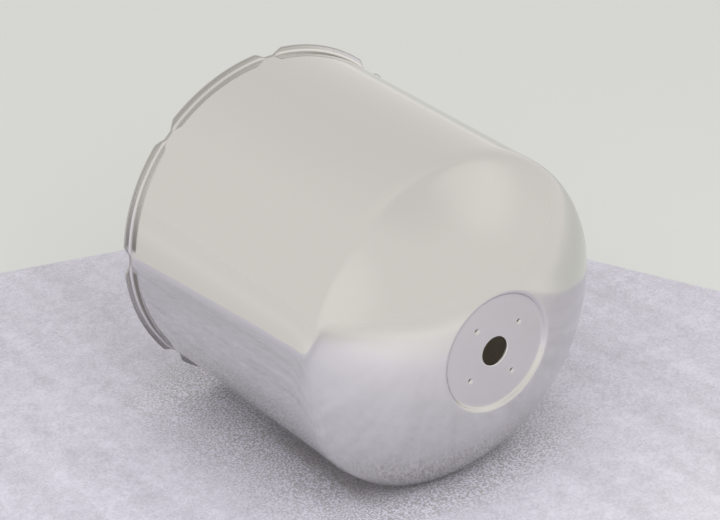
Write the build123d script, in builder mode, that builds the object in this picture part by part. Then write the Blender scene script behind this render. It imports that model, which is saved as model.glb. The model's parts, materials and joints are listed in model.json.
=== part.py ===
"""Axle hub cover: one cup deep-drawn from stainless sheet, polished outside.

The cup lies along the Y axis. Its open rim is at the origin, turned out into short tabs, and its domed
end points along -Y. The wall slides through a wheel's centre bore until the tabs stop against the wheel.
"""
import os
from math import asin, degrees, radians, sqrt, tan

from build123d import *

# Sheet and body
sheet = 0.9  # thickness, the same all over
body_diameter = 123.0  # outside of the straight wall
wall_length = 100.5  # rim's rear face to the start of the knuckle
knuckle_radius = 8.0  # outside of the turn from the wall into the crown
crown_radius = 82.5  # outside of the dome

# Recessed pad in the middle of the crown
pad_diameter = 43.6  # across the edge where the crown breaks off
pad_depth = 1.5  # from that edge down to the flat
pad_flank = 50.0  # slope of the step, in degrees from the flat
hole_diameter = 10.6

# Dimples punched into the pad's outside round the hole
dimple_count = 4
dimple_circle = 25.8
dimple_radius = 1.3  # of the punch's round nose
dimple_depth = 0.4
dimple_turn = 37.5  # degrees from the X axis, counter-clockwise as seen from the dome

# Tabs turned out at the rim
tab_count = 8
tab_reach = 2.3  # beyond the outside of the wall
fold_bevel = 0.5  # legs of the bevel in the hollow between the wall and a tab
notch_floor_width = 4.0
notch_flank = 28.0  # slope of a notch's sides, in degrees from its floor
notch_lift = 0.2  # floor of a notch above the outside of the wall
notch_corner = 2.0  # radius at the corners of notches and tabs

# Cutting tools run this far past the sheet
overrun = 1.0

body_radius = body_diameter / 2
pad_radius = pad_diameter / 2
hole_radius = hole_diameter / 2
tab_radius = body_radius + tab_reach

# The crown is part of a ball whose centre lies on the axis, where it runs smoothly into the knuckle
knuckle_centre = (body_radius - knuckle_radius, -wall_length)
crown_centre_y = sqrt((crown_radius - knuckle_radius) ** 2 - knuckle_centre[0] ** 2) - wall_length
knuckle_angle = degrees(asin((crown_centre_y + wall_length) / (crown_radius - knuckle_radius)))
crown_pole_y = crown_centre_y - crown_radius
pad_y = crown_centre_y - sqrt(crown_radius**2 - pad_radius**2) + pad_depth
pad_foot_radius = pad_radius - pad_depth / tan(radians(pad_flank))

# Planes square to the axis that look out of the dome
rim_plane = Plane.XZ
crown_plane = rim_plane.offset(-crown_centre_y)
pad_plane = rim_plane.offset(-pad_y)


def cap(inset):
    """Solid under the crown as far as the knuckle, with its surface deeper than the outside by the inset."""
    with BuildPart() as form:
        # A piece of a ball, cut out square to its surface by a cone from its centre
        with Locations(crown_plane):
            Sphere(crown_radius - inset, rotation=(90, 0, 0))
            Cone(
                0,
                crown_radius / tan(radians(knuckle_angle)),
                crown_radius,
                align=(Align.CENTER, Align.CENTER, Align.MIN),
                mode=Mode.INTERSECT,
            )

        # The pad pressed into it
        with BuildSketch(pad_plane.offset(-inset)):
            Circle(pad_foot_radius + inset * tan(radians(pad_flank / 2)))
        extrude(amount=pad_y - crown_pole_y + inset, taper=pad_flank - 90, mode=Mode.SUBTRACT)
    return form.part


with BuildPart() as crown:
    add(cap(0))
    add(cap(sheet), mode=Mode.SUBTRACT)
    with BuildSketch(pad_plane):
        Circle(hole_radius)
    extrude(amount=-sheet - overrun, mode=Mode.SUBTRACT)
    with Locations(pad_plane.offset(dimple_radius - dimple_depth)):
        with PolarLocations(dimple_circle / 2, dimple_count, start_angle=dimple_turn):
            Sphere(dimple_radius, rotation=(90, 0, 0), mode=Mode.SUBTRACT)

# What is left of the collar at the rim: a disc with a notch at the top and at every eighth of a turn
notch_depth = tab_reach - notch_lift + overrun
notch_mouth = notch_floor_width + 2 * notch_depth / tan(radians(notch_flank))
with BuildSketch(rim_plane.offset(-overrun)) as tab_outline:
    Circle(tab_radius)
    with PolarLocations(tab_radius + overrun, tab_count):
        Trapezoid(
            notch_mouth,
            notch_depth,
            notch_flank,
            rotation=90,
            align=(Align.CENTER, Align.MIN),
            mode=Mode.SUBTRACT,
        )
    fillet(tab_outline.vertices(), notch_corner)

# What the press trims off round the tabs
with BuildSketch(rim_plane.offset(-overrun)) as trimmed_off:
    Circle(tab_radius + overrun)
    add(tab_outline.sketch, mode=Mode.SUBTRACT)

# The bevel on the rear of the fold keeps it one sheet thick
rear_bevel = fold_bevel + sheet * (2 - sqrt(2))

with BuildPart() as hub_cover:
    # The knuckle, the wall and the collar turned out at the rim, which is trimmed to tabs
    with BuildSketch(Plane.XY):
        with BuildLine():
            Polyline(
                (body_radius, -wall_length),
                (body_radius, -sheet - fold_bevel),
                (body_radius + fold_bevel, -sheet),
                (tab_radius, -sheet),
                (tab_radius, 0),
                (body_radius - sheet + rear_bevel, 0),
                (body_radius - sheet, -rear_bevel),
                (body_radius - sheet, -wall_length),
            )
            outside = CenterArc(knuckle_centre, knuckle_radius, 0, -knuckle_angle)
            inside = CenterArc(knuckle_centre, knuckle_radius - sheet, 0, -knuckle_angle)
            Line(outside @ 1, inside @ 1)
        make_face()
    revolve(axis=Axis.Y)
    extrude(trimmed_off.sketch, amount=sheet + fold_bevel + 2 * overrun, mode=Mode.SUBTRACT)
    add(crown.part, clean=False)

os.makedirs("parts", exist_ok=True)
hub_cover.part.label = "hub_cover"
export_step(hub_cover.part, "parts/hub_cover.step")
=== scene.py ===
import json
import math

import bpy
import numpy as np
from bpy.props import FloatProperty, FloatVectorProperty, IntProperty, PointerProperty
from bpy.types import Operator, Panel, PropertyGroup
from mathutils import Matrix, Vector


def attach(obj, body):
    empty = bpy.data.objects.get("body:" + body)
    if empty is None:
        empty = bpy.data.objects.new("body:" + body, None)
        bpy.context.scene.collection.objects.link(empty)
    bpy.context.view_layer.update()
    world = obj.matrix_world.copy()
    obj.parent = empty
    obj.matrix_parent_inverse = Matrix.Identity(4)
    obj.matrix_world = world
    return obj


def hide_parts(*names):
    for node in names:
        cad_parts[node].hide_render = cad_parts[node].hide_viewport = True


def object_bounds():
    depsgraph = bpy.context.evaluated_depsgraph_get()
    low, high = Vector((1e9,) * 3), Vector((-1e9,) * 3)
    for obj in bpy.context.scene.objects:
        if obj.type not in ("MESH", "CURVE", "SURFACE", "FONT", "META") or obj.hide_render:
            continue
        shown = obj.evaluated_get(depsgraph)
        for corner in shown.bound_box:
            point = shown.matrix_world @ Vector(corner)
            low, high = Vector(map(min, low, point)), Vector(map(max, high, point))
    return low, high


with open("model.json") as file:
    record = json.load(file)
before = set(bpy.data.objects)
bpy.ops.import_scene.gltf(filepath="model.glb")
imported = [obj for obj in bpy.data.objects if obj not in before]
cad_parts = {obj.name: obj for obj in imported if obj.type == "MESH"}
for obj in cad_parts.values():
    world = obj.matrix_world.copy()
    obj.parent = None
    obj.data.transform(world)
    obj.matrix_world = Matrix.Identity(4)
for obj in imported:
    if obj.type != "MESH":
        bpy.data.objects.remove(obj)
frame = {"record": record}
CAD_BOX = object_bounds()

bl_info = {
    "name": "Axle hub cover",
    "version": (1, 0, 0),
    "blender": (4, 5, 0),
    "location": "3D View > Sidebar > Hub cover",
    "description": "Builds a polished axle hub cover and the studio it lies in",
    "category": "Object",
}

NODE = "hub_cover"
BODY = "root"
MOUNTS = {mount["name"]: mount for mount in frame["record"]["mounts"]}
SHEET = MOUNTS["hub_seat"]["pos_m"][1] - MOUNTS["wheel_seat"]["pos_m"][1]
MM = 0.001
QUARTER = math.pi / 2

# Grid of the cover
EVEN_STEP = 1.5  # degrees between its directions
NOTCH_WINDOW = 7.0  # degrees to each side of a notch where they lie closer
NOTCH_COLUMNS = 25  # directions across a notch
DIMPLE_COLUMNS = 19  # directions across a dimple
DIMPLE_MARGIN = 1.05  # how far these go, in reaches of a dimple
PAD_ROWS = (8, 22, 8)  # rows on the pad before, across and past the dimples
LINE_ROWS = (1.5, 1.0, 0.15)  # rows of the wall at the line of painted shade beside the tabs, in its widths from the fold

# Polish of each stretch of the sheet, from 0 for plain to 1 for a mirror
PAD_POLISH = 0.92
TAB_POLISH = 0.55
EDGE_POLISH = 0.3
MOUTH_POLISH = 0.9
MOUTH_SHEEN = 0.8  # how much painted sheen the hole's mouth gets

# Painted shade in the bottom of a dimple, which is also dull
DIMPLE_SHADE_PLACE = (-0.3 * MM, 0.25 * MM)  # off the dimple's middle, in x and z
DIMPLE_SHADE_RADIUS = 0.35 * MM
DIMPLE_SHADE_EDGE = 2.2  # where it runs out, in its radii
DIMPLE_SHADE_STRENGTH = 0.95  # share of the polish that is lost in it

# Painted light on the tabs, which differs round the rim: painted sheen on their faces, painted shade in their
# folds and on the line beside them
PAINTED_LIGHT_MEAN = 0.55
PAINTED_LIGHT_SWING = 0.45
PAINTED_LIGHT_TURN = math.radians(30)  # one of the two directions where it is strongest
FOLD_SHARE = 0.25  # share of a tab's front, from the wall out, that counts as the fold
FOLD_SHADE = 0.3  # polish lost on the fold, which paints it dark as shade, as far as the tab has painted light
LINE_SHADE = 1.2  # polish lost on the line beside the tabs, which paints it dark as shade, as far as the tab has painted light
LINE_SHADE_MOST = 0.83

# Noise in the sheet's finish, in waves to the metre
WHEEL_LINES = 2600.0
WHEEL_LINES_ROUND = 40.0
CLOUDS = 42.0
GRAIN = 1500.0
WAVES = 38.0

# Painted shade in the sheet: dark deep inside the cup, and less dark towards the rim
INSIDE_SHADE_END = -55.0 * MM  # place along the cover where the painted shade starts to lift
INSIDE_DEPTH = 0.6 * MM  # how far under the outside of the wall a face counts as inside
SHADE_LIFT_OUTSIDE = 0.2  # share of that lift that other faces get
DARK_GONE = 0.6  # polish at which none of the painted dark colour is left

# How far the noise sways the sheet's tone and blur, and the height of its bumps
CLOUD_SHARE = 0.16
CLOUD_TONE = 0.9
POLISHED_SWAY = 0.03
DRAWN_SWAY = 0.2
LINE_HEIGHT = 0.12
GRAIN_HEIGHT = 0.7
WALL_WAVES = 15.0
DOME_WAVES = 85.0  # what the dome has more than the wall
DOME_PASSAGE = 4.0 * MM  # length over which the wall's finish passes into the dome's
SHEET_BUMPS = 0.02 * MM
SHEET_BUMP_STRENGTH = 0.25

# Noise in the foam, in waves to the metre
FIBRES = 900.0
TUFTS = 260.0
CLUMPS = 110.0
PATCHES = 28.0
SPECKS = 1300.0
STRIPES_ACROSS = 90.0
STRIPES_ALONG = 8.0

# Tones of the foam, in times the mat's colour
FOAM_DARK = 0.8
FOAM_LIGHT = 1.2
# Painted light: the lighter tone of the mat's left side and of the glints painted under the cover
FOAM_LIT = 1.24
FOAM_EDGE = 0.6
FOAM_CONTRAST = 0.22  # sway of the noise to either side that takes it from dark to light
FOAM_BUMPS = 1.5 * MM
FOAM_BUMP_STRENGTH = 0.8

# Where the foam changes, as shares of the mat's sides: where the change is none and where it is full. The
# front and the left side are painted lighter, as painted light
LIT_FRONT = (0.3, 1.0)  # from the rear
LIT_LEFT = (0.2, 0.0)  # from the left
EDGE = (0.012, 0.0)  # from the left

# Painted shade on the mat under the cover, with lighter painted glints among it and a darker painted core:
# each pair is where it is none and where it is full
CONTACT_HALF = 50.0 * MM  # half of the length that the cover lies along
CONTACT_ENDS = 6.0  # weight of the distance past that length
UNDER = (85.0 * MM, 30.0 * MM)  # from the line under the cover's axis
CORE_REACH = (36.5 * MM, 30.5 * MM)  # from that line, for the dark core
CORE_REAR = (-20.0 * MM, -55.0 * MM)  # along the cover
CORE_FRONT = (-112.0 * MM, -85.0 * MM)  # along the cover
SPECK_EDGE = (0.57, 0.43)
GLINT_STRENGTH = 0.6
SHADE_STRENGTH = 0.55

# Corners of the mat in the floor's plane: rear left, rear right, front left, front right
MAT_CORNERS = MM * np.array([[[-98.0, 146.0], [106.0, 84.0]], [[-1150.0, -770.0], [319.0, -400.0]]])
MAT_BORDER = 0.02  # share of its sides where its grid is closer
MAT_ROUND = 0.01  # share of its sides that its rounded edge takes

# Floor, with painted shade round the cover, and painted shade behind the mat as the camera sees it
FLOOR_REACH = 2.9
FLOOR_NEAR = (0.45, 0.15)  # distances from the rim's middle between which it takes a painted shade
FLOOR_NEAR_SHADE = 0.86
SHADE_LEFT = -0.105
SHADE_RIGHT = 0.20
SHADE_SPREAD = 0.125  # how far its sides spread for each metre back
SHADE_DEPTH = 0.42
SHADE_EDGE = 0.05
SHADE_FADE = 3  # where it has faded out, in times its right side and its depth

# Tent, with its soft spots: turn from the front to the right, height and spread, in degrees
TENT_RADIUS = 3.0
DIM_SPOTS = ((30.0, 64.0, 42.0), (135.0, 15.0, 75.0))
BRIGHT_SPOTS = ((-52.0, 12.0, 34.0), (52.0, 38.0, 30.0))
DIM_SWAY = 0.3
BRIGHT_SWAY = 0.35
TENT_DARK = 0.86
TENT_LIGHT = 1.14

# Lamp and camera
LAMP_PLACE = (-0.15, -0.30, 0.24)
LAMP_SIZE = 0.3
SENSOR_WIDTH = 36.0


def length(name, description, millimetres):
    """A property that holds a length, with its default given in millimetres."""
    return FloatProperty(
        name=name, description=description, default=millimetres * MM, precision=5, unit="LENGTH"
    )


def angle(name, description, degrees):
    """A property that holds an angle, with its default given in degrees."""
    return FloatProperty(name=name, description=description, default=math.radians(degrees), subtype="ANGLE")


def share(name, description, default):
    """A property that holds a plain number, such as a roughness or a strength."""
    return FloatProperty(name=name, description=description, default=default, precision=4)


def colour(name, description, default):
    """A property that holds a colour as linear red, green and blue."""
    return FloatVectorProperty(
        name=name, description=description, default=default, size=3, subtype="COLOR", min=0, max=1
    )


class CoverShape(PropertyGroup):
    """Sizes of the cup made by drawing, taken over its outside"""

    sheet: length("Sheet", "Thickness of the sheet", SHEET / MM)
    body_radius: length("Body radius", "Outside of the straight wall", MOUNTS["pilot_wall"]["dims"]["r_mm"])
    wall_length: length("Wall length", "Rear of the rim to the start of the knuckle", 100.5)
    knuckle_radius: length("Knuckle radius", "Turn from the wall into the crown", 8.0)
    crown_radius: length("Crown radius", "Ball that the dome is part of", 82.5)
    knuckle_blend: length("Knuckle blend", "Length over which reflections pass into the knuckle", 2.0)
    pad_radius: length("Pad radius", "Edge where the crown breaks off into the pad", 21.8)
    pad_depth: length("Pad depth", "From that edge down to the flat", 1.5)
    pad_flank: angle("Pad flank", "Slope of the step round the pad", 50.0)
    pad_round: length("Pad rounding", "Radius at the top and the foot of the step", 1.4)
    hole_radius: length("Hole radius", "Hole in the middle of the pad", MOUNTS["centre_hole"]["dims"]["r_mm"])
    dimple_count: IntProperty(name="Dimples", description="Number of punched dimples", default=4)
    dimple_circle: length("Dimple circle", "Radius of the circle that the dimples lie on", 12.9)
    dimple_reach: length("Dimple reach", "From a dimple's middle to where its lip runs out", 1.25)
    dimple_depth: length("Dimple depth", "Depth of a dimple below the pad", 0.5)
    dimple_turn: angle("Dimple turn", "First dimple, from the X axis", 37.5)
    tab_count: IntProperty(name="Tabs", description="Number of tabs at the rim", default=8)
    tab_reach: length("Tab reach", "Tab's edge beyond the outside of the wall", 2.3)
    fold_radius: length("Fold radius", "Hollow between the wall and a tab", 1.0)
    notch_floor: length("Notch floor", "Half of the width of a notch's flat floor", 2.0)
    notch_flank: angle("Notch flank", "Slope of a notch's sides", 28.0)
    notch_lift: length("Notch lift", "Floor of a notch above the outside of the wall", 0.2)
    notch_corner: length("Notch corner", "Radius at the corners of notches and tabs", 2.0)
    edge_break: length("Edge break", "Rounding left on the sheared edges", 0.12)
    hole_break: length("Hole break", "Rounding polished onto the hole's edge", 0.3)
    # Painted shade: a dark line painted on the wall beside the tabs, which is also rougher
    shaded_line: length("Dull line", "Width of the line by the tabs that the polishing wheel leaves dull", 2.2)


class CoverFinish(PropertyGroup):
    """Colours and roughness of the stainless sheet"""

    polished: colour("Polished", "Reflection of the polished outside", (0.655, 0.648, 0.64))
    # Painted shade: this dark colour stands in for shade deep inside the cup and in the less polished places
    shaded_sheet: colour("Drawn", "Reflection of the plain sheet inside", (0.078, 0.060, 0.036))
    # The inside at the rim is painted this lighter colour, where the painted shade lifts
    lit_inside: colour("Bare", "Reflection of the plain sheet inside, at the rim", (0.5, 0.49, 0.47))
    # Painted light: the lighter colour painted on the tabs' faces and on the hole's mouth
    painted_sheen: colour("Satin", "Reflection of the brushed tabs and of the hole's mouth", (0.88, 0.87, 0.86))
    sheared: colour("Sheared", "Reflection of the cut edges", (0.46, 0.45, 0.44))
    wall_roughness: share("Wall roughness", "Blur of the polished wall", 0.04)
    crown_roughness: share("Crown roughness", "Blur of the polished knuckle, crown and pad", 0.13)
    drawn_roughness: share("Drawn roughness", "Blur of the plain sheet inside", 0.6)
    sheared_roughness: share("Sheared roughness", "Blur of the cut edges", 0.38)


class StudioStage(PropertyGroup):
    """The mat, the floor, the light and the camera"""

    mat: colour("Mat", "Foam mat under the cover", (0.70, 0.692, 0.80))
    # Painted light: the mat is painted paler towards its front
    mat_front: colour("Mat front", "Foam mat at its front, where it fades into the light", (0.93, 0.92, 0.94))
    # Painted shade: the colour the mat is painted under the cover
    mat_shade: colour("Mat deep", "Foam mat between its fibres under the cover", (0.28, 0.26296, 0.2624))
    mat_thickness: length("Mat thickness", "Thickness of the foam mat", 4.0)
    floor: colour("Floor", "Pale floor round the mat", (1.0, 1.0, 1.0))
    floor_shade: colour("Floor shade", "Pale floor where it is shaded, behind the mat", (0.725, 0.75, 0.745))
    tent: colour("Tent", "Soft light from all round", (0.93, 0.905, 0.865))
    lamp_power: share("Lamp power", "Power of the soft lamp in front of the cover, in watts", 0.58)
    azimuth: angle("Azimuth", "Camera's turn round the cover", -37.585)
    elevation: angle("Elevation", "Camera's height above the horizon", 28.82)
    distance: length("Distance", "Camera to the middle of the rim, along the view", 941.56)
    aside: length("Aside", "Camera's place to the right of the rim's middle", 32.61)
    below: length("Below", "Camera's place below the rim's middle, across the view", 18.25)
    lens: share("Lens", "Focal length in millimetres on a 36 mm wide sensor", 128.92)


class Wire:
    """A node's output; arithmetic on it adds Math nodes to the same tree."""

    def __init__(self, tree, socket):
        self.tree, self.socket = tree, socket

    def out(self, name):
        """Another output of the same node."""
        return Wire(self.tree, self.socket.node.outputs[name])

    def maths(self, operation, first, second):
        return self.tree.add("ShaderNodeMath", {"operation": operation}, {0: first, 1: second})

    def __add__(self, other):
        return self.maths("ADD", self, other)

    def __radd__(self, other):
        return self.maths("ADD", other, self)

    def __sub__(self, other):
        return self.maths("SUBTRACT", self, other)

    def __rsub__(self, other):
        return self.maths("SUBTRACT", other, self)

    def __mul__(self, other):
        return self.maths("MULTIPLY", self, other)

    def __rmul__(self, other):
        return self.maths("MULTIPLY", other, self)

    def __pow__(self, other):
        return self.maths("POWER", self, other)

    def at_least(self, other):
        return self.maths("MAXIMUM", self, other)


class Finish:
    """A material whose nodes are added one call at a time."""

    def __init__(self, name):
        self.material = bpy.data.materials.new(name)
        self.material.use_nodes = True
        self.nodes = self.material.node_tree.nodes
        self.links = self.material.node_tree.links
        self.nodes.clear()

    def add(self, kind, settings=None, inputs=None, output=0):
        """Adds a node, with its settings first and then the values or links of its sockets."""
        node = self.nodes.new(kind)
        for key, value in (settings or {}).items():
            setattr(node, key, value)
        for key, value in (inputs or {}).items():
            if isinstance(value, Wire):
                self.links.new(value.socket, node.inputs[key])
            else:
                node.inputs[key].default_value = value
        return Wire(self, node.outputs[output])

    def place(self):
        """Object coordinates, as a vector and as x, y and z."""
        vector = self.add("ShaderNodeTexCoord", output="Object")
        x = self.add("ShaderNodeSeparateXYZ", inputs={"Vector": vector}, output="X")
        return vector, x, x.out("Y"), x.out("Z")

    def layer(self, name):
        """A value that the mesh holds for each point."""
        return self.add("ShaderNodeAttribute", {"attribute_name": name}, output="Fac")

    def vector(self, x, y, z):
        return self.add("ShaderNodeCombineXYZ", inputs={"X": x, "Y": y, "Z": z})

    def noise(self, vector, scale, detail=2.0, roughness=0.5):
        """Smooth noise from 0 to 1, with so many waves to the metre."""
        return self.add(
            "ShaderNodeTexNoise",
            inputs={"Vector": vector, "Scale": scale, "Detail": detail, "Roughness": roughness},
        )

    def mix(self, factor, first, second):
        """Colour between the first and the second."""
        return self.add(
            "ShaderNodeMix", {"data_type": "RGBA"}, {0: factor, 6: first, 7: second}, output=2
        )

    def ease(self, value, low, high):
        """Smooth rise from 0 to 1 while the value goes from low to high."""
        return self.add(
            "ShaderNodeMapRange",
            {"interpolation_type": "SMOOTHSTEP"},
            {"Value": value, "From Min": low, "From Max": high},
        )

    def bump(self, height, distance, strength):
        return self.add(
            "ShaderNodeBump", inputs={"Height": height, "Distance": distance, "Strength": strength}
        )

    def close(self, inputs):
        """Ends the tree in a surface with these inputs."""
        surface = self.add("ShaderNodeBsdfPrincipled", inputs=inputs)
        self.add_output(surface)
        return self.material

    def add_output(self, surface):
        output = self.nodes.new("ShaderNodeOutputMaterial")
        self.links.new(surface.socket, output.inputs["Surface"])


def opaque(rgb):
    """A colour with full cover, as colour sockets take it."""
    return (*rgb, 1.0)


def toned(rgb, times):
    """A colour so many times as bright, as colour sockets take it."""
    return opaque([times * part for part in rgb])


def stainless(finish, shape):
    """Stainless sheet made by drawing: polished outside with faint wheel lines, plain inside, dull on its cut
    edges. The inside and the less polished places are painted dark as shade, and the tabs and the hole's
    mouth are painted lighter.
    """
    tree = Finish("polished_stainless")
    place, x, y, z = tree.place()
    radius = (x * x + z * z) ** 0.5
    # Where the sheet is polished less it is rougher, and its colour is also painted darker as shade
    polish_and_shade, cut, painted_sheen = tree.layer("polish_and_shade"), tree.layer("cut"), tree.layer("painted_sheen")

    # Lines left by the wheel run round the axis, so they change along the section and little round it
    section = tree.vector(x * WHEEL_LINES_ROUND, (y + radius) * WHEEL_LINES, z * WHEEL_LINES_ROUND)
    lines = tree.noise(section, 1.0, 3.0)
    clouds = tree.noise(place, CLOUDS, 3.0)
    grain = tree.noise(place, GRAIN, 3.0)
    waves = tree.noise(place, WAVES, 1.0)

    # Painted shade: the plain sheet inside is painted dark, less so towards the rim, and less polished places
    # take that dark colour too
    within = tree.ease(radius, shape.body_radius, shape.body_radius - INSIDE_DEPTH)
    shade_lifted = tree.ease(y, INSIDE_SHADE_END, 0.0) * (SHADE_LIFT_OUTSIDE + (1 - SHADE_LIFT_OUTSIDE) * within)
    shaded_sheet = tree.mix(shade_lifted, opaque(finish.shaded_sheet), opaque(finish.lit_inside))
    worked = tree.mix(tree.ease(polish_and_shade, 0.0, DARK_GONE), shaded_sheet, opaque(finish.polished))
    tinted = tree.mix(clouds * CLOUD_SHARE, worked, toned(finish.polished, CLOUD_TONE))
    # Painted sheen: the tabs' faces and the hole's mouth are painted in a lighter colour
    painted_light = tree.mix(painted_sheen, tinted, opaque(finish.painted_sheen))
    base = tree.mix(cut, painted_light, opaque(finish.sheared))

    # The dome is polished less finely than the wall
    domed = tree.ease(y, -shape.wall_length, -shape.wall_length - DOME_PASSAGE)
    polished = finish.wall_roughness + (finish.crown_roughness - finish.wall_roughness) * domed
    outside = polished + (lines - 0.5) * POLISHED_SWAY + (clouds - 0.5) * POLISHED_SWAY
    inside = finish.drawn_roughness + (grain - 0.5) * DRAWN_SWAY
    worked_roughness = outside * polish_and_shade + inside * (1 - polish_and_shade)
    roughness = worked_roughness * (1 - cut) + finish.sheared_roughness * cut

    relief = lines * LINE_HEIGHT + grain * GRAIN_HEIGHT + waves * (WALL_WAVES + domed * DOME_WAVES)
    normal = tree.bump(relief * polish_and_shade + grain * (1 - polish_and_shade), SHEET_BUMPS, SHEET_BUMP_STRENGTH)
    return tree.close({"Base Color": base, "Metallic": 1.0, "Roughness": roughness, "Normal": normal})


def foam(stage):
    """Foam mat: pale and bluish, with short fibres lying every way and faint broad stripes; painted lighter
    towards the front and on the left side, and painted with shade under the cover.
    """
    tree = Finish("foam_mat")
    place, x, y, _ = tree.place()
    across, along = tree.layer("across"), tree.layer("along")
    fibres = tree.noise(place, FIBRES, 4.0, 0.7)
    tufts = tree.noise(place, TUFTS, 3.0, 0.6)
    clumps = tree.noise(place, CLUMPS, 2.0)
    patches = tree.noise(place, PATCHES, 3.0)
    stripes = tree.noise(tree.vector(x * STRIPES_ACROSS, y * STRIPES_ALONG, 0.0), 1.0, 2.0)
    weights = ((fibres, 0.6), (tufts, 0.25), (clumps, 0.15), (patches, 0.08), (stripes, 0.26))
    shade = sum((pattern - 0.5) * weight for pattern, weight in weights)

    # Painted light: paler towards the front and on the left side; a dark line along that side's edge
    mottled = tree.ease(shade, -FOAM_CONTRAST, FOAM_CONTRAST)
    pale = tree.mix(mottled, toned(stage.mat, FOAM_DARK), toned(stage.mat, FOAM_LIGHT))
    lit_front = tree.mix(tree.ease(along, *LIT_FRONT), pale, opaque(stage.mat_front))
    lit_left = tree.mix(tree.ease(across, *LIT_LEFT), lit_front, toned(stage.mat, FOAM_LIT))
    tone = tree.mix(tree.ease(across, *EDGE), lit_left, toned(stage.mat, FOAM_EDGE))

    # Painted shade under the cover, speckled with the fibres, with lighter painted glints between the specks
    # and a darker painted core along part of the line of contact
    beyond = (((y + CONTACT_HALF) ** 2) ** 0.5 - CONTACT_HALF).at_least(0.0)
    away = (x * x + beyond * beyond * CONTACT_ENDS) ** 0.5
    specks = tree.ease(tree.noise(place, SPECKS, 2.0), *SPECK_EDGE)
    under = tree.ease(away, *UNDER)
    core = tree.ease(away, *CORE_REACH) * tree.ease(y, *CORE_REAR) * tree.ease(y, *CORE_FRONT)
    painted_shade = opaque(stage.mat_shade)
    painted_glints = tree.mix(under * (1 - specks) * GLINT_STRENGTH, tone, toned(stage.mat, FOAM_LIT))
    speckled = tree.mix(under * specks * SHADE_STRENGTH, painted_glints, painted_shade)
    shaded = tree.mix(core * SHADE_STRENGTH, speckled, painted_shade)

    normal = tree.bump(fibres * 0.7 + tufts * 0.3, FOAM_BUMPS, FOAM_BUMP_STRENGTH)
    return tree.close({"Base Color": shaded, "Roughness": 0.85, "Normal": normal})


def pale_floor(stage):
    """Plain pale floor, with painted shade behind the mat and a little painted shade round the cover."""
    tree = Finish("pale_floor")
    _, x, y, _ = tree.place()
    cos, sin = math.cos(stage.azimuth), math.sin(stage.azimuth)
    aside = x * cos + y * sin
    behind = y * cos - x * sin
    left = tree.ease(aside + behind * SHADE_SPREAD, SHADE_LEFT - SHADE_EDGE, SHADE_LEFT)
    right = tree.ease(aside - behind * SHADE_SPREAD, SHADE_FADE * SHADE_RIGHT, SHADE_RIGHT)
    start = tree.ease(behind, -SHADE_EDGE, SHADE_EDGE)
    end = tree.ease(behind, SHADE_FADE * SHADE_DEPTH, SHADE_DEPTH)
    # Painted shade: a little darker round the cover, and darker behind the mat
    near = tree.ease((x * x + y * y) ** 0.5, *FLOOR_NEAR)
    plain = tree.mix(near, opaque(stage.floor), toned(stage.floor, FLOOR_NEAR_SHADE))
    tone = tree.mix(left * right * (start * end), plain, opaque(stage.floor_shade))
    return tree.close({"Base Color": tone, "Roughness": 0.9})


def tent_cloth(stage):
    """Glowing white tent, a little dimmer overhead and behind, and brighter in two soft spots in front."""
    tree = Finish("tent_cloth")
    _, x, y, z = tree.place()

    def nearness(turn, height, spread):
        """Rises from 0 to 1 within the spread about a direction: cos of the angle between, eased."""
        turn, height = math.radians(turn), math.radians(height)
        way = (math.sin(turn) * math.cos(height), -math.cos(turn) * math.cos(height), math.sin(height))
        cosine = (x * way[0] + y * way[1] + z * way[2]) * (1 / TENT_RADIUS)
        return tree.ease(cosine, math.cos(math.radians(spread)), 1.0)

    dim = sum(nearness(*spot) for spot in DIM_SPOTS)
    bright = sum(nearness(*spot) for spot in BRIGHT_SPOTS)
    level = 0.5 + bright * BRIGHT_SWAY - dim * DIM_SWAY
    glow = tree.mix(level, toned(stage.tent, TENT_DARK), toned(stage.tent, TENT_LIGHT))
    black = opaque((0, 0, 0))
    return tree.close(
        {"Base Color": black, "Specular IOR Level": 0.0, "Emission Color": glow, "Emission Strength": 1.0}
    )


def new_object(name, points, faces, material):
    """A smooth mesh object at the origin, from arrays of points and of quads."""
    mesh = bpy.data.meshes.new(name)
    mesh.from_pydata(points.tolist(), [], faces.tolist(), shade_flat=False)
    mesh.materials.append(material)
    thing = bpy.data.objects.new(name, mesh)
    bpy.context.scene.collection.objects.link(thing)
    return thing


def add_layer(thing, name, worth):
    """Stores a value per point, for the material to read."""
    layer = thing.data.attributes.new(name, "FLOAT", "POINT")
    layer.data.foreach_set("value", worth.ravel().astype(np.float32))


def grid_faces(rows, columns, closed):
    """Quads of a grid of rows by columns; a closed one joins its last row and column to its first."""
    turns = 0 if closed else 1
    row, column = np.meshgrid(np.arange(rows - turns), np.arange(columns - turns), indexing="ij")
    below, beside = (row + 1) % rows, (column + 1) % columns
    corners = [
        row * columns + column,
        below * columns + column,
        below * columns + beside,
        row * columns + beside,
    ]
    return np.stack(corners, axis=-1).reshape(-1, 4)


def arc(centre, radius, start, stop, steps, side=1):
    """Arc without its last point: centre + radius (cos t, sin t). Its normal is out, or in for side -1."""
    turn = np.linspace(start, stop, steps, endpoint=False)
    out = np.stack([np.cos(turn), np.sin(turn)], axis=1)
    return np.hstack([np.asarray(centre) + radius * out, side * out])


def run(start, stop, stations):
    """Straight run: start + s (stop - start) for each station s. Its normal is to the right of the travel."""
    start, stop = np.asarray(start), np.asarray(stop)
    way = (stop - start) / np.linalg.norm(stop - start)
    points = start + np.asarray(stations)[:, None] * (stop - start)
    return np.hstack([points, np.broadcast_to([way[1], -way[0]], points.shape)])


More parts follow.
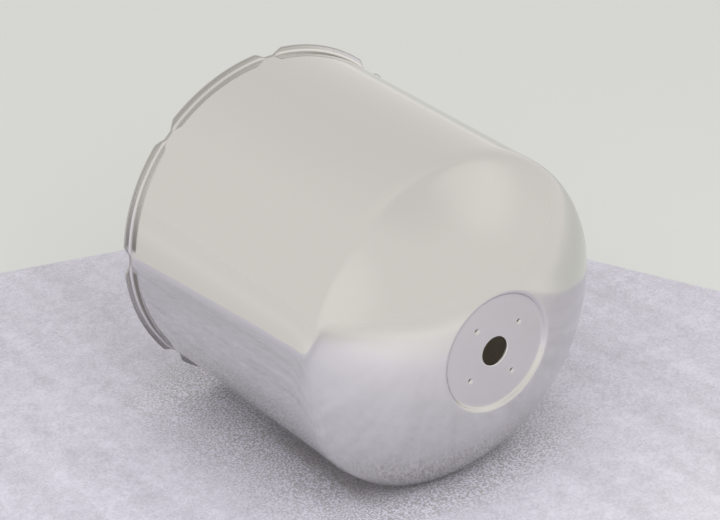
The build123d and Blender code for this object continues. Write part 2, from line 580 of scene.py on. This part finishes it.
def softened(section, blend):
    """The section with its normals' angle averaged over its length s, so that reflections pass smoothly from
    one curve into the next. The weights are exp(-s^2 / 2 blend^2), as far as three blends away."""
    lengths = np.linalg.norm(np.diff(section[:, :2], axis=0), axis=1)
    place = np.concatenate([[0], np.cumsum(lengths)])
    lean = np.arctan2(section[:, 3], section[:, 2])
    fineness = 10
    ends = 3 * fineness
    step = blend / fineness
    fine = np.interp(np.arange(0, place[-1], step), place, lean)
    weights = np.exp(-((np.arange(-ends, ends + 1) / fineness) ** 2) / 2)
    padded = np.pad(fine, ends, mode="reflect", reflect_type="odd")
    mean = np.convolve(padded, weights / weights.sum(), mode="valid")
    lean = np.interp(place, step * np.arange(len(mean)), mean)
    return np.hstack([section[:, :2], np.cos(lean)[:, None], np.sin(lean)[:, None]])


def even(steps):
    """Stations spread evenly from 0 up to, but without, 1."""
    return np.linspace(0, 1, steps, endpoint=False)


def nearest_turn(turn, count, first):
    """Angle from each direction to the nearest of count directions that start at first."""
    pitch = 2 * math.pi / count
    return (turn - first + pitch / 2) % pitch - pitch / 2


def cover_columns(shape):
    """Directions round the axis: even ones, with closer ones across each notch and each dimple."""
    notch_window = math.radians(NOTCH_WINDOW)
    dimple_window = shape.dimple_reach / shape.dimple_circle * DIMPLE_MARGIN
    turn = np.radians(np.arange(0, 360, EVEN_STEP))
    off_notch = np.abs(nearest_turn(turn, shape.tab_count, 0)) > notch_window
    off_dimple = np.abs(nearest_turn(turn, shape.dimple_count, shape.dimple_turn)) > dimple_window
    notches = 2 * math.pi / shape.tab_count * np.arange(shape.tab_count)
    dimples = shape.dimple_turn + 2 * math.pi / shape.dimple_count * np.arange(shape.dimple_count)
    across_notch = notches[:, None] + np.linspace(-notch_window, notch_window, NOTCH_COLUMNS)
    across_dimple = dimples[:, None] + np.linspace(-dimple_window, dimple_window, DIMPLE_COLUMNS)
    every = np.concatenate([turn[off_notch & off_dimple], across_notch.ravel(), across_dimple.ravel()])
    return np.unique(every % (2 * math.pi))


def rim_outline(shape, turn):
    """Radius of the trimmed rim in each direction.

    From a notch's middle the outline is its flat floor, a hollow corner, a sloped side, a round corner and
    the circle of the tabs. Along a ray u it is floor / cos t, c / (n.u) on the side, and
    p.u -+ sqrt((p.u)^2 - p.p + q^2) on a corner of radius q about p.
    """
    away = np.abs(nearest_turn(turn, shape.tab_count, 0))
    ray = np.stack([np.sin(away), np.cos(away)])
    slope, corner = shape.notch_flank, shape.notch_corner
    floor, tabs = shape.body_radius + shape.notch_lift, shape.body_radius + shape.tab_reach
    square = np.array([-math.sin(slope), math.cos(slope)])
    along = np.array([math.cos(slope), math.sin(slope)])
    side = square @ np.array([shape.notch_floor, floor])
    hollow = np.array([shape.notch_floor - corner * math.tan(slope / 2), floor + corner])
    crest = (side - corner) * square + math.sqrt((tabs - corner) ** 2 - (side - corner) ** 2) * along
    stops = [hollow - [0, corner], hollow - corner * square, crest + corner * square, crest]
    ends = [math.atan2(*stop) for stop in stops]

    def corner_reach(middle, sign):
        toward = middle @ ray
        return toward + sign * np.sqrt(np.maximum(toward**2 - middle @ middle + corner**2, 0))

    reaches = [floor / ray[1], corner_reach(hollow, -1), side / (square @ ray), corner_reach(crest, 1)]
    return np.select([away <= end for end in ends], reaches, tabs)


def turned(turn, *pieces):
    """Pieces of a section joined and repeated in each direction, with a normal's part round the axis of 0."""
    section = np.concatenate(pieces)
    section = np.hstack([section, np.zeros((len(section), 1))])
    return np.repeat(section[:, :, None], len(turn), axis=2)


def dimpled_pad(shape, turn, pad, foot):
    """Rows of the pad at this y, from the hole to the radius of its foot, and how far they are polished.

    The pad sinks by depth (1 - d^2 / reach^2)^2 at the distance d from a dimple. A small core in each dimple,
    a little off its middle, is made dull and painted dark as shade.
    """
    circle, span = shape.dimple_circle, shape.dimple_reach
    stops = [shape.hole_radius + shape.hole_break, circle - span, circle + span, foot]
    stretches = zip(stops, stops[1:], PAD_ROWS)
    reach = np.concatenate([low + even(rows) * (high - low) for low, high, rows in stretches])
    strip = turned(turn, run((stops[0], pad), (foot, pad), (reach - stops[0]) / (foot - stops[0])))

    aside = nearest_turn(turn, shape.dimple_count, shape.dimple_turn)
    across = reach[:, None] * np.sin(aside)
    outward = reach[:, None] * np.cos(aside) - circle
    inside = np.maximum(1 - (across**2 + outward**2) / span**2, 0)
    slope = -4 * shape.dimple_depth * inside / span**2
    strip[:, 1] += shape.dimple_depth * inside**2
    strip[:, 2] = slope * (outward * np.cos(aside) + across * np.sin(aside))
    strip[:, 4] = slope * (across * np.cos(aside) - outward * np.sin(aside))

    punched = turn - aside
    core_x = reach[:, None] * np.cos(turn) - circle * np.cos(punched) - DIMPLE_SHADE_PLACE[0]
    core_z = reach[:, None] * np.sin(turn) - circle * np.sin(punched) - DIMPLE_SHADE_PLACE[1]
    core = np.clip(DIMPLE_SHADE_EDGE - np.hypot(core_x, core_z) / DIMPLE_SHADE_RADIUS, 0, 1)
    return strip, PAD_POLISH * (1 - DIMPLE_SHADE_STRENGTH * core)


def painted_light_share(shape, turn, outline):
    """Share of painted light round the rim: none in a notch, and on the tabs mean + swing cos 2(t - first).
    """
    lifted = outline - shape.body_radius - shape.notch_lift
    tabbed = np.clip(lifted / (shape.tab_reach - shape.notch_lift), 0, 1)
    return tabbed * (PAINTED_LIGHT_MEAN + PAINTED_LIGHT_SWING * np.cos(2 * (turn - PAINTED_LIGHT_TURN)))


def rim_strips(shape, turn, outline, painted_light):
    """Strips of the fold and the tabs: the front, the sheared edge and the rear.

    The rows are stretched from the wall to the trimmed outline. A fold of radius q about the bend b has
    y = b_y + q sqrt(1 - s^2) with s = (b_r - r) / q, and beyond the bend the tab is flat. The edge's normal
    leans by -outline' / outline from the radius.
    """
    sheet, body, fold, bevel = shape.sheet, shape.body_radius, shape.fold_radius, shape.edge_break
    whole_outline, whole_turn = np.append(outline, outline[0]), np.append(turn, turn[0] + 2 * math.pi)
    lean = -np.gradient(whole_outline, whole_turn)[:-1] / outline
    square = 1 / np.sqrt(1 + lean**2)
    reach = outline - bevel
    bend = np.array([body + fold, -sheet - fold])

    def folded(radius, curve, side):
        """Rows on the fold and on the tab beyond it, at these radii."""
        short = np.clip(bend[0] - radius, 0, curve) / curve
        rise = np.sqrt(1 - short**2)
        return np.stack([radius, bend[1] + curve * rise, -side * short, side * rise, 0 * radius], axis=1)

    def broken(middle_y, from_turn, to_turn):
        """Rows on the rounding of the sheared edge."""
        a = np.linspace(from_turn, to_turn, 4, endpoint=False)[:, None]
        out, up = np.cos(a), np.sin(a)
        rows = (reach + bevel * out, middle_y + bevel * up, out * square, up, out * square * lean)
        return np.stack(np.broadcast_arrays(*rows), axis=1)

    front_share, rear_share = even(16)[:, None] ** 2, (1 - even(14))[:, None] ** 2
    front = folded(body + (reach - body) * front_share, fold, -1)
    rear = folded(body - sheet + (reach - body + sheet) * rear_share, fold + sheet, 1)
    front_y = folded(reach[None], fold, -1)[0, 1] + bevel
    rear_y = folded(reach[None], fold + sheet, 1)[0, 1] - bevel
    between = front_y + (rear_y - front_y) * even(2)[:, None]
    sheared = np.stack(np.broadcast_arrays(outline, between, square, 0.0, square * lean), axis=1)
    edge = np.concatenate([broken(front_y, -QUARTER, 0), sheared, broken(rear_y, 0, QUARTER)])

    # Painted shade on the fold, and painted sheen on the tab's face beyond it, both as far as the rim has
    # painted light
    past_fold = np.minimum(front_share / FOLD_SHARE, 1)
    return [
        (front, TAB_POLISH - FOLD_SHADE * painted_light * (1 - past_fold), 0.0, painted_light * past_fold),
        (edge, EDGE_POLISH, 1.0, 0.0),
        (rear, EDGE_POLISH, 0.0, 0.0),
    ]


def cover_skin(shape):
    """The whole surface of the sheet, from the hole over the outside to the tabs and back along the inside.

    A section of lines and arcs is turned about the Y axis: x = r cos t, z = r sin t. Returns the directions t
    and a strip per stretch: rows of radius, y and a normal's parts along r, y and t, with how far the stretch
    is polished, where less polish also paints it darker as shade, how far it is cut, and how much painted
    sheen it has.
    """
    turn = cover_columns(shape)
    sheet, body, flank, rounding = shape.sheet, shape.body_radius, shape.pad_flank, shape.pad_round
    hole, hole_break, bevel, fold = shape.hole_radius, shape.hole_break, shape.edge_break, shape.fold_radius

    # Middles of the knuckle's circle and of the crown's ball, which touch
    knuckle = np.array([body - shape.knuckle_radius, -shape.wall_length])
    lift = math.sqrt((shape.crown_radius - shape.knuckle_radius) ** 2 - knuckle[0] ** 2)
    crown = np.array([0.0, lift - shape.wall_length])
    crown_end = -math.asin(lift / (shape.crown_radius - shape.knuckle_radius))
    edge_y = crown[1] - math.sqrt(shape.crown_radius**2 - shape.pad_radius**2)
    pad = edge_y + shape.pad_depth

    # Round foot and round edge of the pad's step, each touching the step and what it meets
    foot_point = np.array([shape.pad_radius - shape.pad_depth / math.tan(flank), pad])
    foot = np.array([foot_point[0] - rounding * math.tan(flank / 2), pad - rounding])
    down, into = np.array([math.cos(flank), -math.sin(flank)]), np.array([math.sin(flank), math.cos(flank)])
    start = foot_point + rounding * into - crown
    half = start @ down
    travel = math.sqrt(half**2 - start @ start + (shape.crown_radius - rounding) ** 2) - half
    edge = start + crown + down * travel
    step_turn = -QUARTER - (QUARTER - flank)
    edge_turn = math.atan2(edge[1] - crown[1], edge[0])
    foot_turn = QUARTER - flank

    def step_points(depth):
        """Ends of the straight part of the step, on a surface that lies so much deeper."""
        ray = np.array([math.cos(foot_turn), math.sin(foot_turn)])
        return foot + (rounding + depth) * ray, edge - (rounding - depth) * into

    # Step, crown, knuckle and wall outside, with a dull line beside the tabs that is painted dark as shade
    low, high = step_points(0)
    line_stops = 1 - shape.shaded_line / shape.wall_length * np.array(LINE_ROWS)
    domed = np.concatenate(
        [
            arc(crown, shape.crown_radius, edge_turn, crown_end, 30),
            arc(knuckle, shape.knuckle_radius, crown_end, 0, 24),
            run((body, -shape.wall_length), (body, -sheet - fold), np.append(even(11) ** 2, line_stops)),
        ]
    )
    body_strip = turned(
        turn,
        arc(foot, rounding, QUARTER, foot_turn, 10, -1),
        run(low, high, even(3)),
        arc(edge, rounding, step_turn, edge_turn, 14),
        softened(domed, shape.knuckle_blend),
    )
    outline = rim_outline(shape, turn)
    painted_light = painted_light_share(shape, turn, outline)
    # Painted shade on the line beside the tabs, stronger where the rim has more painted light
    body_polish_and_shade = np.ones((len(body_strip), len(turn)))
    body_polish_and_shade[-2:] -= np.minimum(LINE_SHADE * painted_light, LINE_SHADE_MOST)

    # The same section inside, one sheet deeper
    high, low = step_points(sheet)[::-1]
    inner = body - sheet
    inside_strip = turned(
        turn,
        run((inner, -sheet - fold), (inner, -shape.wall_length), even(6)),
        arc(knuckle, shape.knuckle_radius - sheet, 0, crown_end, 12, -1),
        arc(crown, shape.crown_radius - sheet, crown_end, edge_turn, 14, -1),
        arc(edge, rounding - sheet, edge_turn, step_turn, 6, -1),
        run(high, low, even(2)),
        arc(foot, rounding + sheet, foot_turn, QUARTER, 6),
        run((foot[0], pad + sheet), (hole + bevel, pad + sheet), even(4)),
    )

    # Sheared wall of the hole, and its polished mouth
    hole_strip = turned(
        turn,
        arc((hole + bevel, pad + sheet - bevel), bevel, QUARTER, 2 * QUARTER, 4),
        run((hole, pad + sheet - bevel), (hole, pad + hole_break), even(2)),
    )
    mouth = (hole + hole_break, pad + hole_break)
    mouth_strip = turned(turn, arc(mouth, hole_break, 2 * QUARTER, 3 * QUARTER, 4))
    strips = [
        (*dimpled_pad(shape, turn, pad, foot[0]), 0.0, 0.0),
        (body_strip, body_polish_and_shade, 0.0, 0.0),
        *rim_strips(shape, turn, outline, painted_light),
        (inside_strip, 0.0, 0.0, 0.0),
        (hole_strip, EDGE_POLISH, 1.0, 0.0),
        (mouth_strip, MOUTH_POLISH, 0.0, MOUTH_SHEEN),
    ]
    return turn, strips


class HUBCOVER_OT_build_cover(Operator):
    """Build the cup made by drawing, with its rounded folds in place of the plain solid"""

    bl_idname = "hub_cover.build_cover"
    bl_label = "Build cover"

    def execute(self, context):
        turn, strips = cover_skin(context.scene.cover_shape)
        skin = np.concatenate([strip[0] for strip in strips])
        radius, y, out, up, round_ = skin.transpose(1, 0, 2)
        cos, sin = np.cos(turn), np.sin(turn)
        points = np.stack([radius * cos, y, radius * sin], axis=-1)
        normals = np.stack([out * cos - round_ * sin, up, out * sin + round_ * cos], axis=-1)
        normals /= np.linalg.norm(normals, axis=-1, keepdims=True)

        cover = new_object(
            "cover",
            points.reshape(-1, 3),
            grid_faces(*radius.shape, closed=True),
            stainless(context.scene.cover_finish, context.scene.cover_shape),
        )
        cover.data.normals_split_custom_set_from_vertices(normals.reshape(-1, 3).tolist())
        for name, column in (("polish_and_shade", 1), ("cut", 2), ("painted_sheen", 3)):
            worth = np.concatenate([np.broadcast_to(strip[column], strip[0].shape[::2]) for strip in strips])
            add_layer(cover, name, worth)
        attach(cover, BODY)
        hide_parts(NODE)
        return {"FINISHED"}


def tent_surface():
    """Ball round the stage: x = R cos e cos t, y = R cos e sin t, z = R sin e."""
    heights, turns = np.linspace(-QUARTER, QUARTER, 17), np.linspace(0, 4 * QUARTER, 33)
    height, turn = np.meshgrid(heights, turns, indexing="ij")
    points = np.stack([np.cos(height) * np.cos(turn), np.cos(height) * np.sin(turn), np.sin(height)], axis=-1)
    return TENT_RADIUS * points.reshape(-1, 3), grid_faces(*turn.shape, closed=False)


def resting_plane(shape):
    """Height and fall of the plane under the cover, which touches its lowest tabs and its wall's far end."""
    height = CAD_BOX[0].z
    return height, (-shape.body_radius - height) / shape.wall_length


def mat_surface(shape, stage):
    """Flat quad between the mat's corners, blended as (1-u)(1-v) A + u(1-v) B + (1-u)v C + uv D.

    Its border is rounded down by the mat's thickness as a quarter of a circle. The last values are u, from
    the left side, and v, from the rear.
    """
    height, fall = resting_plane(shape)
    thickness = stage.mat_thickness
    near = np.linspace(0, 1, 9) ** 2 * MAT_BORDER
    shares = np.concatenate([near, np.linspace(MAT_BORDER, 1 - MAT_BORDER, 40)[1:-1], 1 - near[::-1]])
    u, v = np.meshgrid(shares, shares, indexing="ij")
    weights = np.stack([(1 - u) * (1 - v), u * (1 - v), (1 - u) * v, u * v], axis=-1)
    plan = weights @ MAT_CORNERS.reshape(4, 2)
    border = np.minimum(np.minimum(u, 1 - u), np.minimum(v, 1 - v)) / MAT_ROUND
    drop = thickness * (1 - np.sqrt(1 - (1 - np.clip(border, 0, 1)) ** 2))
    z = height - fall * plan[..., 1] - drop
    points = np.concatenate([plan, z[..., None]], axis=-1)
    return points.reshape(-1, 3), grid_faces(*u.shape, closed=False)[:, ::-1], u, v


class HUBCOVER_OT_build_stage(Operator):
    """Lay the mat and the floor, and set the light and the camera"""

    bl_idname = "hub_cover.build_stage"
    bl_label = "Build stage"

    def execute(self, context):
        shape, stage = context.scene.cover_shape, context.scene.studio_stage
        points, faces, across, along = mat_surface(shape, stage)
        mat = new_object("mat", points, faces, foam(stage))
        add_layer(mat, "across", across)
        add_layer(mat, "along", along)
        height, fall = resting_plane(shape)
        ends = np.array([-FLOOR_REACH, FLOOR_REACH])
        x, y = np.meshgrid(ends, ends, indexing="ij")
        plane = np.stack([x, y, height - stage.mat_thickness - fall * y], axis=-1).reshape(-1, 3)
        floor = new_object("floor", plane, grid_faces(2, 2, closed=False)[:, ::-1], pale_floor(stage))
        tent = new_object("tent", *tent_surface(), tent_cloth(stage))
        context.scene.view_settings.view_transform = "Standard"

        lamp = bpy.data.lights.new("soft_lamp", "AREA")
        lamp.shape, lamp.size, lamp.energy = "DISK", LAMP_SIZE, stage.lamp_power
        soft_lamp = bpy.data.objects.new("soft_lamp", lamp)
        soft_lamp.location = LAMP_PLACE
        soft_lamp.visible_camera = soft_lamp.visible_glossy = False
        context.scene.collection.objects.link(soft_lamp)

        a, e = stage.azimuth, stage.elevation
        right = Vector((math.cos(a), math.sin(a), 0))
        back = Vector((math.sin(a) * math.cos(e), -math.cos(a) * math.cos(e), math.sin(e)))
        up = back.cross(right)
        eye = stage.aside * right - stage.below * up + stage.distance * back
        lens = bpy.data.cameras.new("camera")
        lens.sensor_fit, lens.sensor_width, lens.lens = "HORIZONTAL", SENSOR_WIDTH, stage.lens
        camera = bpy.data.objects.new("camera", lens)
        camera.matrix_world = Matrix.Translation(eye) @ Matrix((right, up, back)).transposed().to_4x4()
        context.scene.collection.objects.link(camera)
        context.scene.camera = camera
        return {"FINISHED"}


class HUBCOVER_PT_panel(Panel):
    """Lists the steps that build the cover and its stage"""

    bl_idname = "HUBCOVER_PT_panel"
    bl_label = "Hub cover"
    bl_space_type = "VIEW_3D"
    bl_region_type = "UI"
    bl_category = "Hub cover"

    def draw(self, context):
        for step in STEPS:
            self.layout.operator(step.bl_idname)


STEPS = (HUBCOVER_OT_build_cover, HUBCOVER_OT_build_stage)
GROUPS = {"cover_shape": CoverShape, "cover_finish": CoverFinish, "studio_stage": StudioStage}


def register():
    for kind in (*GROUPS.values(), *STEPS, HUBCOVER_PT_panel):
        bpy.utils.register_class(kind)
    for name, kind in GROUPS.items():
        setattr(bpy.types.Scene, name, PointerProperty(type=kind))


def unregister():
    for name in GROUPS:
        delattr(bpy.types.Scene, name)
    for kind in (HUBCOVER_PT_panel, *STEPS, *GROUPS.values()):
        bpy.utils.unregister_class(kind)


def main():
    register()
    bpy.ops.hub_cover.build_cover()
    bpy.ops.hub_cover.build_stage()


if __name__ == "__main__":
    main()
